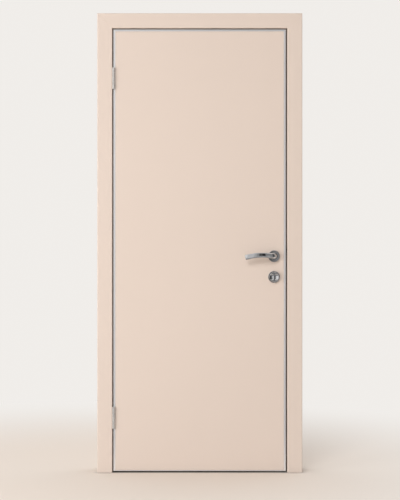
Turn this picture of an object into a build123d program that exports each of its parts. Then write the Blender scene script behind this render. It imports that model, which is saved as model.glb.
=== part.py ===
"""Interior door set: a flush leaf with aluminium edging, hung on two butt hinges in a rebated frame
with mitred casings on both sides of the wall, a lever handle pair and a privacy turn.

Millimetres. +X runs from the hinge jamb to the lock jamb, +Y from the opening side through the wall,
+Z up. The origin is on the outer face of the hinge jamb, half way through the wall, at floor level.
"""

import os
from collections import namedtuple
from math import cos, pi, sin

from build123d import *

# Leaf
leaf_width = 800.0
leaf_height = 2050.0
leaf_thickness = 40.0
skin = 2.0
edging_wall = 2.0
edging_face = 9.0
bottom_edging_face = 4.0
edging_corner = 0.8
hairline = 0.3

# Gaps round the leaf, and how far it stands in front of the frame
hinge_gap = 5.0
lock_gap = 6.5
head_gap = 5.0
floor_gap = 7.0
leaf_proud = 4.0
seal_space = 5.0

# Frame
frame_depth = 100.0
jamb_thickness = 24.0
stop_height = 12.0
stop_round = 2.0

# Casing boards, with a tongue that plugs into a groove in the frame
casing_width = 70.0
casing_thickness = 10.0
casing_reveal = 0.0
casing_round = 4.0
tongue_thickness = 6.0
tongue_length = 12.0
tongue_inset = 9.0
tongue_clearance = 0.2

# Rubber seal in a groove of the stop
seal_width = 8.0
seal_touch = 0.3
seal_tongue = 3.0
seal_depth = 6.0
seal_clearance = 0.1

# Butt hinges
hinge_height = 100.0
hinge_from_top = 228.0
hinge_from_bottom = 248.0
hinge_plate = 2.5
hinge_plate_width = 30.0
barrel_radius = 6.0
barrel_clearance = 0.5
pin_radius = 3.0
pin_clearance = 0.05
end_knuckle = 24.0
knuckle_gap = 0.6
bearing_gap = 1.6
bearing_step = 0.7
bearing_clearance = 0.2
mortise_clearance = 0.2

# Lock
handle_height = 1004.0
turn_drop = 96.0
backset = 55.0
forend_width = 20.0
forend_height = 235.0
forend_thickness = 3.0
lock_case_thickness = 15.0
lock_case_height = 170.0
lock_case_depth = 85.0
lock_case_clearance = 0.5
latch_width = 12.0
latch_height = 32.0
latch_above_handle = 0.0
dead_bolt_width = 9.0
dead_bolt_height = 26.0
bolt_depth = 14.0
bolt_clearance = 0.25

# Strike plate
strike_width = 24.0
strike_height = 180.0
strike_thickness = 2.0
strike_window_margin = 4.0
strike_pocket = 16.0

# Roses
rose_radius = 27.5
rose_height = 8.5
rose_round = 2.0
rim_steps = 3
bearing_fit = 0.08
leaf_hole_radius = 9.0

# Lever
lever_shaft_radius = 10.0
lever_shaft_seat = 6.0
collar_gap = 0.6
lever_spindle = 8.0
lever_socket_depth = 16.0
socket_clearance = 0.1
case_hole_clearance = 0.4

# Privacy turn and the coin release on its far side
turn_shaft_radius = 9.0
turn_knob_radius = 22.0
turn_knob_height = 11.0
turn_knob_round = 2.0
turn_ridge = 2.4
turn_hollow_radius = 11.0
turn_hollow_depth = 6.5
turn_hollow_straight = 10.0
turn_spindle = 6.0
release_radius = 13.0
release_height = 3.0
release_round = 1.0
coin_slot_width = 2.4
coin_slot_depth = 1.8

# Places that follow from those sizes
front_y = -frame_depth / 2
back_y = frame_depth / 2
leaf_front_y = front_y - leaf_proud
leaf_back_y = leaf_front_y + leaf_thickness
leaf_middle_y = (leaf_front_y + leaf_back_y) / 2
stop_y = leaf_back_y + seal_space

leaf_left = jamb_thickness + hinge_gap
leaf_right = leaf_left + leaf_width
leaf_bottom = floor_gap
leaf_top = leaf_bottom + leaf_height
lock_rebate_x = leaf_right + lock_gap
frame_width = lock_rebate_x + jamb_thickness
frame_height = leaf_top + head_gap + jamb_thickness

core_front_y = leaf_front_y + skin
core_back_y = leaf_back_y - skin
casing_inner = jamb_thickness - casing_reveal
casing_overhang = casing_width - casing_inner

hinge_axis = (jamb_thickness + barrel_radius, leaf_front_y - barrel_radius - barrel_clearance)
hinge_heights = {
    "top": leaf_top - hinge_from_top,
    "bottom": leaf_bottom + hinge_from_bottom,
}

spindle_x = leaf_right - backset
lever_z = handle_height
turn_z = handle_height - turn_drop
lock_middle_z = (lever_z + turn_z) / 2

# The three runs of the frame. In each section plane, local x points from the wall into the doorway
# and local y through the wall, so one section serves both jambs and the head.
Run = namedtuple("Run", "plane length mitres")
hinge_mitre = Plane(origin=(0, 0, frame_height), z_dir=(1, 0, 1))
lock_mitre = Plane(origin=(frame_width, 0, frame_height), z_dir=(-1, 0, 1))
runs = {
    "hinge_side": Run(
        Plane(origin=(0, 0, 0), x_dir=(1, 0, 0), z_dir=(0, 0, 1)),
        frame_height + casing_overhang,
        [(hinge_mitre, Keep.BOTTOM)],
    ),
    "lock_side": Run(
        Plane(origin=(frame_width, 0, frame_height + casing_overhang), x_dir=(-1, 0, 0), z_dir=(0, 0, -1)),
        frame_height + casing_overhang,
        [(lock_mitre, Keep.BOTTOM)],
    ),
    "head": Run(
        Plane(origin=(-casing_overhang, 0, frame_height), x_dir=(0, 0, -1), z_dir=(1, 0, 0)),
        frame_width + 2 * casing_overhang,
        [(hinge_mitre, Keep.TOP), (lock_mitre, Keep.TOP)],
    ),
}


def write(part, name):
    """Labels a finished piece and writes it as its own STEP file."""
    part.label = name
    export_step(part, f"parts/{name}.step")


def block(x, y, z):
    """A box between two values on each axis, each given as a pair."""
    (x0, x1), (y0, y1), (z0, z1) = sorted(x), sorted(y), sorted(z)
    with Locations(((x0 + x1) / 2, (y0 + y1) / 2, (z0 + z1) / 2)):
        return Box(x1 - x0, y1 - y0, z1 - z0, mode=Mode.PRIVATE)


# Frame sections

def frame_section():
    """Rebated jamb with a rounded stop, two casing grooves and a seal groove."""
    stop_x = jamb_thickness + stop_height
    groove_middle = tongue_inset + tongue_thickness / 2
    groove_width = tongue_thickness + 2 * tongue_clearance
    groove_depth = tongue_length + tongue_clearance
    seal_middle = jamb_thickness + stop_height / 2
    with BuildSketch() as section:
        with BuildLine():
            Polyline(
                (0, front_y),
                (jamb_thickness, front_y),
                (jamb_thickness, stop_y),
                (stop_x, stop_y),
                (stop_x, back_y),
                (0, back_y),
                close=True,
            )
        make_face()
        stop_corners = section.vertices().group_by(Axis.X)[-1]
        fillet(stop_corners, stop_round)
        with Locations((groove_middle, front_y), (groove_middle, back_y)):
            Rectangle(groove_width, 2 * groove_depth, mode=Mode.SUBTRACT)
        with Locations((seal_middle, stop_y)):
            Rectangle(seal_tongue + 2 * seal_clearance, 2 * (seal_depth + seal_clearance), mode=Mode.SUBTRACT)
    return section.sketch


def casing_section():
    """Flat casing board with rounded face edges and its tongue, on the opening side of the wall."""
    board_middle = casing_inner - casing_width / 2
    with BuildSketch() as section:
        with Locations((board_middle, front_y - casing_thickness / 2)):
            Rectangle(casing_width, casing_thickness)
        face_corners = section.vertices().group_by(Axis.Y)[0]
        fillet(face_corners, casing_round)
        with Locations((tongue_inset + tongue_thickness / 2, front_y)):
            Rectangle(tongue_thickness, tongue_length, align=(Align.CENTER, Align.MIN))
    return section.sketch


def seal_section():
    """Rubber seal: a rounded bulb against the leaf and a tongue in the stop's groove."""
    bulb_height = seal_space - seal_touch
    seal_middle = jamb_thickness + stop_height / 2
    with BuildSketch() as section:
        with Locations((seal_middle, stop_y - bulb_height / 2)):
            Rectangle(seal_width, bulb_height)
        bulb_corners = section.vertices().group_by(Axis.Y)[0]
        fillet(bulb_corners, 0.45 * seal_width)
        with Locations((seal_middle, stop_y)):
            Rectangle(seal_tongue, seal_depth, align=(Align.CENTER, Align.MIN))
    return section.sketch


def frame_member(section, run):
    """One length of a frame section, mitred where it meets its neighbours."""
    with BuildPart() as member:
        with BuildSketch(run.plane):
            add(section)
        extrude(amount=run.length)
        for mitre, side in run.mitres:
            split(bisect_by=mitre, keep=side)
    return member.part


# Leaf

def leaf_core():
    """Core board inside the edging, with the lock mortise, spindle holes and hinge mortises."""
    core_bottom = leaf_bottom + edging_wall
    core_top = leaf_top - edging_wall
    with BuildPart() as core:
        add(block(
            (leaf_left + edging_wall, leaf_right - edging_wall),
            (core_front_y, core_back_y),
            (core_bottom, core_top),
        ))
        add(hinge_mortises(), mode=Mode.SUBTRACT)
        add(lock_mortise(), mode=Mode.SUBTRACT)
        add(spindle_holes(), mode=Mode.SUBTRACT)
    return core.part


def leaf_skin(outer_y, inner_y):
    """Smooth face sheet, which ends a hairline short of the edging on all sides."""
    side = edging_face + hairline
    with BuildPart() as sheet:
        add(block(
            (leaf_left + side, leaf_right - side),
            (outer_y, inner_y),
            (leaf_bottom + bottom_edging_face + hairline, leaf_top - side),
        ))
        add(spindle_holes(), mode=Mode.SUBTRACT)
    return sheet.part


def edging_section(face):
    """Aluminium channel round the core's edge. Local x runs into the leaf and local y through it."""
    with BuildSketch() as section:
        with Locations((face / 2, leaf_middle_y)):
            Rectangle(face, leaf_thickness)
        outer_corners = section.vertices().group_by(Axis.X)[0]
        fillet(outer_corners, edging_corner)
        with Locations((edging_wall, leaf_middle_y)):
            Rectangle(face, leaf_thickness - 2 * skin, align=(Align.MIN, Align.CENTER), mode=Mode.SUBTRACT)
    return section.sketch


def edging_length(plane, length, face=edging_face, mitres=(), cuts=()):
    """One edging channel along its side of the leaf, with its mitres and mortises."""
    with BuildPart() as channel:
        with BuildSketch(plane):
            add(edging_section(face))
        extrude(amount=length)
        for mitre, side in mitres:
            split(bisect_by=mitre, keep=side)
        for cut in cuts:
            add(cut, mode=Mode.SUBTRACT)
    return channel.part


def leaf_edging():
    """The four channels: the top is mitred to the sides, and the bottom runs between them."""
    left_mitre = Plane(origin=(leaf_left, 0, leaf_top), z_dir=(1, 0, 1))
    right_mitre = Plane(origin=(leaf_right, 0, leaf_top), z_dir=(-1, 0, 1))
    return {
        "hinge_side": edging_length(
            Plane(origin=(leaf_left, 0, leaf_bottom), x_dir=(1, 0, 0), z_dir=(0, 0, 1)),
            leaf_height,
            mitres=[(left_mitre, Keep.BOTTOM)],
            cuts=[hinge_mortises()],
        ),
        "lock_side": edging_length(
            Plane(origin=(leaf_right, 0, leaf_top), x_dir=(-1, 0, 0), z_dir=(0, 0, -1)),
            leaf_height,
            mitres=[(right_mitre, Keep.BOTTOM)],
            cuts=[lock_mortise()],
        ),
        "top": edging_length(
            Plane(origin=(leaf_left, 0, leaf_top), x_dir=(0, 0, -1), z_dir=(1, 0, 0)),
            leaf_width,
            mitres=[(left_mitre, Keep.TOP), (right_mitre, Keep.TOP)],
        ),
        "bottom": edging_length(
            Plane(
                origin=(leaf_right - edging_face - hairline, 0, leaf_bottom),
                x_dir=(0, 0, 1),
                z_dir=(-1, 0, 0),
            ),
            leaf_width - 2 * (edging_face + hairline),
            face=bottom_edging_face,
        ),
    }


def hinge_mortises():
    """Recesses in the leaf's edge for the hinges' door plates, open to the leaf's face."""
    depth = hinge_plate + mortise_clearance
    half_height = hinge_height / 2 + mortise_clearance
    with BuildPart() as mortises:
        for z in hinge_heights.values():
            add(block(
                (leaf_left - depth, leaf_left + depth),
                (leaf_front_y - depth, leaf_front_y + hinge_plate_width + mortise_clearance),
                (z - half_height, z + half_height),
            ))
    return mortises.part


def lock_mortise():
    """Pocket in the lock edge for the lock's forend and case."""
    half_forend = forend_width / 2 + mortise_clearance
    half_case = lock_case_thickness / 2 + lock_case_clearance
    forend_half_height = forend_height / 2 + mortise_clearance
    case_half_height = lock_case_height / 2 + lock_case_clearance
    with BuildPart() as pocket:
        add(block(
            (leaf_right - forend_thickness - mortise_clearance, leaf_right + forend_thickness),
            (leaf_middle_y - half_forend, leaf_middle_y + half_forend),
            (lock_middle_z - forend_half_height, lock_middle_z + forend_half_height),
        ))
        add(block(
            (leaf_right - lock_case_depth - lock_case_clearance, leaf_right),
            (leaf_middle_y - half_case, leaf_middle_y + half_case),
            (lock_middle_z - case_half_height, lock_middle_z + case_half_height),
        ))
    return pocket.part


def through_leaf(radius, z):
    """Round bar right through the leaf at a spindle, wide enough to cut with."""
    with BuildPart() as bar:
        with BuildSketch(Plane.XZ.offset(-leaf_back_y - leaf_thickness)):
            with Locations((spindle_x, z)):
                Circle(radius)
        extrude(amount=3 * leaf_thickness)
    return bar.part


def spindle_holes():
    """The lever's and the turn's holes through the leaf."""
    with BuildPart() as holes:
        for z in (lever_z, turn_z):
            add(through_leaf(leaf_hole_radius, z))
    return holes.part


# Hinges

def knuckle_spans(z):
    """The five knuckles of a hinge centred at height z, from the bottom, as pairs of heights."""
    middle = (hinge_height - 2 * end_knuckle - 2 * bearing_gap - 2 * knuckle_gap) / 3
    lengths = [end_knuckle, middle, middle, middle, end_knuckle]
    gaps = [bearing_gap, knuckle_gap, knuckle_gap, bearing_gap, 0]
    spans = []
    low = z - hinge_height / 2
    for length, gap in zip(lengths, gaps):
        spans.append((low, low + length))
        low += length + gap
    return spans


def hinge_half(plate_x, plate_start_y, plate_end_y, z, spans):
    """A hinge plate with the knuckles that belong to it, rolled round the pin."""
    axis_x, axis_y = hinge_axis
    with BuildPart() as half:
        add(block(plate_x, (plate_start_y, plate_end_y), (z - hinge_height / 2, z + hinge_height / 2)))
        for low, high in spans:
            add(block(plate_x, (axis_y, plate_end_y), (low, high)))
            with BuildSketch(Plane.XY.offset(low)):
                with Locations((axis_x, axis_y)):
                    Circle(barrel_radius)
            extrude(amount=high - low)
        with BuildSketch(Plane.XY.offset(z - hinge_height)):
            with Locations((axis_x, axis_y)):
                Circle(pin_radius + pin_clearance)
        extrude(amount=2 * hinge_height, mode=Mode.SUBTRACT)
    return half.part


def hinge_frame_half(z):
    """The half on the jamb: its plate lies on the rebate, with the outer and middle knuckles."""
    axis_x, axis_y = hinge_axis
    spans = knuckle_spans(z)
    plate_start_y = axis_y + barrel_radius + barrel_clearance
    return hinge_half(
        (jamb_thickness, jamb_thickness + hinge_plate),
        plate_start_y,
        plate_start_y + hinge_plate_width,
        z,
        spans[0::2],
    )


def hinge_door_half(z):
    """The half on the leaf: its plate is let into the edge, with the two inner knuckles."""
    spans = knuckle_spans(z)
    return hinge_half(
        (leaf_left, leaf_left + hinge_plate),
        leaf_front_y,
        leaf_front_y + hinge_plate_width,
        z,
        spans[1::2],
    )


def hinge_pin(z):
    """Pin with a bearing ring in each of the two wide gaps between the knuckles."""
    spans = knuckle_spans(z)
    bearings = [(spans[0][1], spans[1][0]), (spans[3][1], spans[4][0])]
    with BuildPart() as pin:
        with BuildSketch(Plane.XY.offset(z - hinge_height / 2)):
            with Locations(hinge_axis):
                Circle(pin_radius)
        extrude(amount=hinge_height)
        for low, high in bearings:
            with BuildSketch(Plane.XY.offset(low + bearing_clearance)):
                with Locations(hinge_axis):
                    Circle(barrel_radius - bearing_step)
            extrude(amount=high - low - 2 * bearing_clearance)
    return pin.part


# Lock

def lock():
    """Mortise lock: the case behind its forend, with windows for the latch and the dead bolt."""
    latch_z = lever_z + latch_above_handle
    with BuildPart() as body:
        add(block(
            (leaf_right - forend_thickness, leaf_right),
            (leaf_middle_y - forend_width / 2, leaf_middle_y + forend_width / 2),
            (lock_middle_z - forend_height / 2, lock_middle_z + forend_height / 2),
        ))
        add(block(
            (leaf_right - lock_case_depth, leaf_right - forend_thickness),
            (leaf_middle_y - lock_case_thickness / 2, leaf_middle_y + lock_case_thickness / 2),
            (lock_middle_z - lock_case_height / 2, lock_middle_z + lock_case_height / 2),
        ))
        add(bolt(latch_width, latch_height, latch_z, bolt_clearance), mode=Mode.SUBTRACT)
        add(bolt(dead_bolt_width, dead_bolt_height, turn_z, bolt_clearance), mode=Mode.SUBTRACT)
        for size, z in ((lever_spindle, lever_z), (turn_spindle, turn_z)):
            add(through_leaf(size * 2**0.5 / 2 + case_hole_clearance, z), mode=Mode.SUBTRACT)
    return body.part


def bolt(width, height, z, clearance=0.0):
    """Latch or dead bolt, drawn back flush with the forend."""
    with BuildPart() as tongue:
        add(block(
            (leaf_right - bolt_depth - clearance, leaf_right + clearance),
            (leaf_middle_y - width / 2 - clearance, leaf_middle_y + width / 2 + clearance),
            (z - height / 2 - clearance, z + height / 2 + clearance),
        ))
    return tongue.part


def strike_windows(depth):
    """Openings for the latch and the dead bolt, from the rebate face into the jamb."""
    margin = strike_window_margin
    with BuildPart() as windows:
        for width, height, z in (
            (latch_width, latch_height, lever_z + latch_above_handle),
            (dead_bolt_width, dead_bolt_height, turn_z),
        ):
            add(block(
                (lock_rebate_x - depth, lock_rebate_x + depth),
                (leaf_middle_y - width / 2 - margin / 2, leaf_middle_y + width / 2 + margin / 2),
                (z - height / 2 - margin, z + height / 2 + margin),
            ))
    return windows.part


def strike_recess(clearance=0.0):
    """The strike plate's outline, let into the rebate face of the lock jamb."""
    with BuildPart() as plate:
        add(block(
            (lock_rebate_x, lock_rebate_x + strike_thickness + clearance),
            (leaf_middle_y - strike_width / 2 - clearance, leaf_middle_y + strike_width / 2 + clearance),
            (lock_middle_z - strike_height / 2 - clearance, lock_middle_z + strike_height / 2 + clearance),
        ))
    return plate.part


def strike_plate():
    """Strike plate with its two windows."""
    with BuildPart() as plate:
        add(strike_recess())
        add(strike_windows(2 * strike_thickness), mode=Mode.SUBTRACT)
    return plate.part


def lock_jamb():
    """The lock jamb, cut out for the strike plate and the bolts' pockets."""
    with BuildPart() as jamb:
        add(frame_member(frame_section(), runs["lock_side"]))
        add(strike_recess(mortise_clearance), mode=Mode.SUBTRACT)
        add(strike_windows(strike_pocket), mode=Mode.SUBTRACT)
    return jamb.part


# Handle furniture, all made on the opening side of the leaf. Mirroring in the leaf's middle plane
# gives the far side's pieces.

leaf_mirror = Plane(origin=(0, leaf_middle_y, 0), z_dir=(0, 1, 0))


def far_side(part):
    """The same piece on the other face of the leaf."""
    with BuildPart() as copy:
        mirror(part, about=leaf_mirror)
    return copy.part


def spindle_plane(z, out):
    """Plane parallel to the leaf at a spindle, a distance out from the face. Its normal points out."""
    return Plane(origin=(spindle_x, leaf_front_y - out, z), x_dir=(1, 0, 0), z_dir=(0, -1, 0))


def profile_plane(z):
    """Half plane for turned pieces: local x is the radius and local y the distance out from the face."""
    return Plane(origin=(spindle_x, leaf_front_y, z), x_dir=(1, 0, 0), z_dir=(0, 0, 1))


def spindle_axis(z):
    """The axis that a handle and its rose are turned about."""
    return Axis((spindle_x, leaf_front_y, z), (0, -1, 0))


def disc(z, out, radius, height):
    """Round disc on a spindle, standing out from a distance in front of the face."""
    with BuildPart() as round_disc:
        with BuildSketch(spindle_plane(z, out)):
            Circle(radius)
        extrude(amount=height)
    return round_disc.part


def square_bar(z, size, low_out, high_out):
    """Square bar along a spindle between two distances out from the opening face."""
    with BuildPart() as bar:
        with BuildSketch(spindle_plane(z, low_out)):
            Rectangle(size, size)
        extrude(amount=high_out - low_out)
    return bar.part


def softened_rim(radius, top, rounding):
    """Points round the rim of a turned piece, from its side to its top, as (radius, distance out)."""
    points = []
    for step in range(rim_steps + 1):
        angle = pi / 2 * step / rim_steps
        points.append((radius - rounding + rounding * cos(angle), top - rounding + rounding * sin(angle)))
    return points


def turned(z, low, top, radius, rounding):
    """Round piece with a softened rim, turned about a spindle between two distances out."""
    outline = [(0, low), (radius, low), *softened_rim(radius, top, rounding), (0, top)]
    with BuildPart() as piece:
        with BuildSketch(profile_plane(z)):
            with BuildLine():
                Polyline(*[(across, -out) for across, out in outline], close=True)
            make_face()
        revolve(axis=spindle_axis(z))
    return piece.part


def rose(z, bore_radius):
    """Round cover rose with a softened rim and a bearing bore."""
    with BuildPart() as cover:
        add(turned(z, 0, rose_height, rose_radius, rose_round))
        with BuildSketch(spindle_plane(z, 0)):
            Circle(bore_radius)
        extrude(amount=rose_height, mode=Mode.SUBTRACT)
    return cover.part


# Stations along the lever's centre line, from the collar over the rose to the tip: towards the hinges,
# out from the rose's face, up, and the section's half height, half thickness and how round its corners are.
Station = namedtuple("Station", "along out up half_height half_thickness roundness")
lever_stations = [
    Station(0, 0.6, 0, 16.0, 16.0, 0.98),
    Station(0, 2.2, 0, 15.4, 15.4, 0.98),
    Station(0, 6.5, 0, 12.4, 12.4, 0.98),
    Station(0.2, 14.5, 0.1, 10.8, 10.6, 0.97),
    Station(2.2, 24.5, 0.6, 10.6, 9.6, 0.95),
    Station(8.5, 34.0, 1.6, 11.1, 8.2, 0.9),
    Station(20, 39.5, 3.2, 11.6, 6.8, 0.84),
    Station(38, 41.5, 4.4, 11.9, 6.0, 0.78),
    Station(62, 41.6, 4.8, 12.1, 5.6, 0.75),
    Station(84, 41.0, 3.7, 12.2, 5.4, 0.75),
    Station(104, 39.6, 0.8, 12.2, 5.2, 0.75),
    Station(121, 37.7, -2.8, 12.2, 5.0, 0.75),
    Station(132.7, 36.15, -5.4, 11.9, 4.5, 0.75),
]
sections_per_span = 2
lever_tip_round = 2.0
lever_tip_steps = 2


def station_point(station):
    """A station's place in the frame of the door."""
    out = rose_height + station.out
    return Vector(spindle_x - station.along, leaf_front_y - out, lever_z + station.up)


def lever_sections(centre_line):
    """Sections along the lever as (point, heading, station): evenly between its stations, then round
    the edge of its tip."""
    sections = []
    for low, high in zip(lever_stations, lever_stations[1:]):
        start = centre_line.param_at_point(station_point(low))
        end = centre_line.param_at_point(station_point(high))
        for step in range(sections_per_span):
            share = step / sections_per_span
            place = start + (end - start) * share
            between = Station(*[size + (after - size) * share for size, after in zip(low, high)])
            sections.append((centre_line.position_at(place), centre_line.tangent_at(place), between))
    last = lever_stations[-1]
    heading = centre_line.tangent_at(1)
    for step in range(lever_tip_steps + 1):
        angle = pi / 2 * step / lever_tip_steps
        trim = lever_tip_round * (1 - cos(angle))
        point = station_point(last) + heading * (lever_tip_round * sin(angle))
        smaller = last._replace(
            half_height=last.half_height - trim,
            half_thickness=last.half_thickness - trim,
        )
        sections.append((point, heading, smaller))
    return sections


def lever():
    """Arched lever: its shaft runs in the rose, the neck flares out over the bore, and bends into a
    flat grip that droops at the tip."""
    first, last = lever_stations[0], lever_stations[-1]
    before_last = lever_stations[-2]
    centre_line = Edge.make_spline(
        [station_point(station) for station in lever_stations],
        tangents=[Vector(0, -1, 0), station_point(last) - station_point(before_last)],
    )
    with BuildPart() as handle:
        for point, heading, station in lever_sections(centre_line):
            across = heading.cross(Vector(0, 0, 1)).normalized()
            with BuildSketch(Plane(origin=point, x_dir=across, z_dir=heading)):
                RectangleRounded(
                    2 * station.half_thickness,
                    2 * station.half_height,
                    station.roundness * min(station.half_thickness, station.half_height),
                )
        loft(ruled=True)
        add(disc(lever_z, rose_height - lever_shaft_seat, lever_shaft_radius, lever_shaft_seat + first.out))
        add(
            square_bar(
                lever_z,
                lever_spindle + 2 * socket_clearance,
                0,
                rose_height - lever_shaft_seat + lever_socket_depth + socket_clearance,
            ),
            mode=Mode.SUBTRACT,
        )
    return handle.part


def lever_bar():
    """Square spindle through the leaf and the lock into both levers."""
    reach = rose_height - lever_shaft_seat + lever_socket_depth
    return square_bar(lever_z, lever_spindle, -leaf_thickness - reach, reach)


def turn_hollow(side):
    """Thumb hollow in the turn, to the left or right of its ridge: an upright bar with ball ends."""
    rise = turn_hollow_radius - turn_hollow_depth
    half_width = (turn_hollow_radius**2 - rise**2) ** 0.5
    middle_x = spindle_x + side * (turn_ridge / 2 + half_width)
    middle_y = leaf_front_y - rose_height - collar_gap - turn_knob_height - rise
    half_straight = turn_hollow_straight / 2
    with BuildPart() as hollow:
        with Locations((middle_x, middle_y, turn_z)):
            Cylinder(turn_hollow_radius, turn_hollow_straight)
        with Locations((middle_x, middle_y, turn_z - half_straight), (middle_x, middle_y, turn_z + half_straight)):
            Sphere(turn_hollow_radius)
    return hollow.part


def turn_knob():
    """Privacy turn: a round knob with a thumb hollow on each side, which leaves an upright ridge to grip."""
    knob_out = rose_height + collar_gap
    with BuildPart() as knob:
        add(turned(turn_z, knob_out, knob_out + turn_knob_height, turn_knob_radius, turn_knob_round))
        for side in (-1, 1):
            add(turn_hollow(side), mode=Mode.SUBTRACT)
        add(disc(turn_z, rose_height - lever_shaft_seat, turn_shaft_radius, lever_shaft_seat + collar_gap))
        add(
            square_bar(turn_z, turn_spindle + 2 * socket_clearance, 0, turn_reach() + socket_clearance),
            mode=Mode.SUBTRACT,
        )
    return knob.part


def turn_reach():
    """How far out from the leaf the turn's spindle ends, on each side."""
    return rose_height + collar_gap


def release_disc():
    """Coin release for the far side, made on the opening side: a low disc with a slot across it."""
    knob_out = rose_height + collar_gap
    with BuildPart() as button:
        add(turned(turn_z, knob_out, knob_out + release_height, release_radius, release_round))
        with BuildSketch(spindle_plane(turn_z, knob_out + release_height)):
            SlotOverall(1.5 * release_radius, coin_slot_width, rotation=90)
        extrude(amount=-coin_slot_depth, mode=Mode.SUBTRACT)
        add(disc(turn_z, rose_height - lever_shaft_seat, turn_shaft_radius, lever_shaft_seat + collar_gap))
        add(
            square_bar(turn_z, turn_spindle + 2 * socket_clearance, 0, turn_reach() + socket_clearance),
            mode=Mode.SUBTRACT,
        )
    return button.part


def turn_bar():
    """Square spindle of the turn, through the leaf and the lock into the knob and the release."""
    return square_bar(turn_z, turn_spindle, -leaf_thickness - turn_reach(), turn_reach())


def main():
    """Builds every piece and writes it."""
    os.makedirs("parts", exist_ok=True)

    write(frame_member(frame_section(), runs["hinge_side"]), "hinge_jamb")
    write(lock_jamb(), "lock_jamb")
    write(frame_member(frame_section(), runs["head"]), "frame_head")
    front_casing = casing_section()
    back_casing = mirror(front_casing, about=Plane.XZ)
    for place, run in runs.items():
        write(frame_member(front_casing, run), f"front_casing_{place}")
        write(frame_member(back_casing, run), f"back_casing_{place}")
        write(frame_member(seal_section(), run), f"seal_{place}")
    write(strike_plate(), "strike_plate")

    write(leaf_core(), "leaf_core")
    write(leaf_skin(leaf_front_y, core_front_y), "leaf_front_skin")
    write(leaf_skin(leaf_back_y, core_back_y), "leaf_back_skin")
    for place, channel in leaf_edging().items():
        write(channel, f"leaf_edging_{place}")

    for place, z in hinge_heights.items():
        write(hinge_frame_half(z), f"{place}_hinge_frame_plate")
        write(hinge_door_half(z), f"{place}_hinge_door_plate")
        write(hinge_pin(z), f"{place}_hinge_pin")

    write(lock(), "mortise_lock")
    write(bolt(latch_width, latch_height, lever_z + latch_above_handle), "latch")
    write(bolt(dead_bolt_width, dead_bolt_height, turn_z), "dead_bolt")

    lever_rose = rose(lever_z, lever_shaft_radius + bearing_fit)
    turn_rose = rose(turn_z, turn_shaft_radius + bearing_fit)
    front_lever = lever()
    write(lever_rose, "front_lever_rose")
    write(far_side(lever_rose), "back_lever_rose")
    write(turn_rose, "front_turn_rose")
    write(far_side(turn_rose), "back_turn_rose")
    write(front_lever, "front_lever")
    write(far_side(front_lever), "back_lever")
    write(lever_bar(), "lever_spindle")
    write(turn_knob(), "turn_knob")
    write(far_side(release_disc()), "release_disc")
    write(turn_bar(), "turn_spindle")


main()
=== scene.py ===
"""Looks of an interior door set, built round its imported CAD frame.

Metres, in the frame of the part: +X from the hinge jamb to the lock jamb, +Y from the opening side
through the wall, +Z up, with the origin on the hinge jamb's outer face at floor level.
"""
import logging
import math
from collections.abc import Sequence
from dataclasses import astuple, dataclass, field, replace
from enum import Enum
from typing import Any

import bmesh
import bpy
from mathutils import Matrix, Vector


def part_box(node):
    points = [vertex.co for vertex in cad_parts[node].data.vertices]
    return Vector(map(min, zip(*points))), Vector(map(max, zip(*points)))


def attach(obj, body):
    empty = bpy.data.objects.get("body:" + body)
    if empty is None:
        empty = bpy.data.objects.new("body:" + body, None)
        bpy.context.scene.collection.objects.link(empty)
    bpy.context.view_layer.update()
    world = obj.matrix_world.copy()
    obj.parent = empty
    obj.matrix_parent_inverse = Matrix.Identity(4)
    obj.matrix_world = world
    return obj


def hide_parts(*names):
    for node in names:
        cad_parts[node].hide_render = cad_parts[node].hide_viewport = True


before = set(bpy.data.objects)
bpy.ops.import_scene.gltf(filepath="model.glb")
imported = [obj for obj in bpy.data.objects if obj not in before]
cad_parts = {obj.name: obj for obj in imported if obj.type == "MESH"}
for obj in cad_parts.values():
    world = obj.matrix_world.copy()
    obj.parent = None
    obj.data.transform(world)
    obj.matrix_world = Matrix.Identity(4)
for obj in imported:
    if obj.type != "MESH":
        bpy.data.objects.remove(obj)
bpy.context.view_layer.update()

LOG = logging.getLogger("door_set")
MM = 0.001
MERGE_DISTANCE = 1e-7
FACE_AREA_WEIGHT = 80

Point = tuple[float, float, float]
Flat = tuple[float, float]
Colour = tuple[float, float, float, float]


class Body(Enum):
    """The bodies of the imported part."""

    FRAME = "frame"
    LEAF = "leaf"
    LEVER = "lever"
    TURN = "turn"


class Run(Enum):
    """The three runs of the frame."""

    HINGE_SIDE = "hinge_side"
    LOCK_SIDE = "lock_side"
    HEAD = "head"


class Side(Enum):
    """The two sides of the wall, as the sign of +Y. The door opens to the front."""

    FRONT = -1
    BACK = 1


class Grain(Enum):
    """The axis that a drawn or brushed surface runs along, as how much finer its lines are across it."""

    ALONG_X = (1.0, 220.0, 220.0)
    ALONG_Y = (220.0, 1.0, 220.0)
    ALONG_Z = (220.0, 220.0, 1.0)


class Bare(Enum):
    """Where a board is left unpainted: the axis that tells, and whether that is past a limit along it."""

    NOWHERE = None
    LOW_X = (0, False)
    HIGH_X = (0, True)
    HIGH_Z = (2, True)
    INNER_Y = (1, False)


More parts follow.
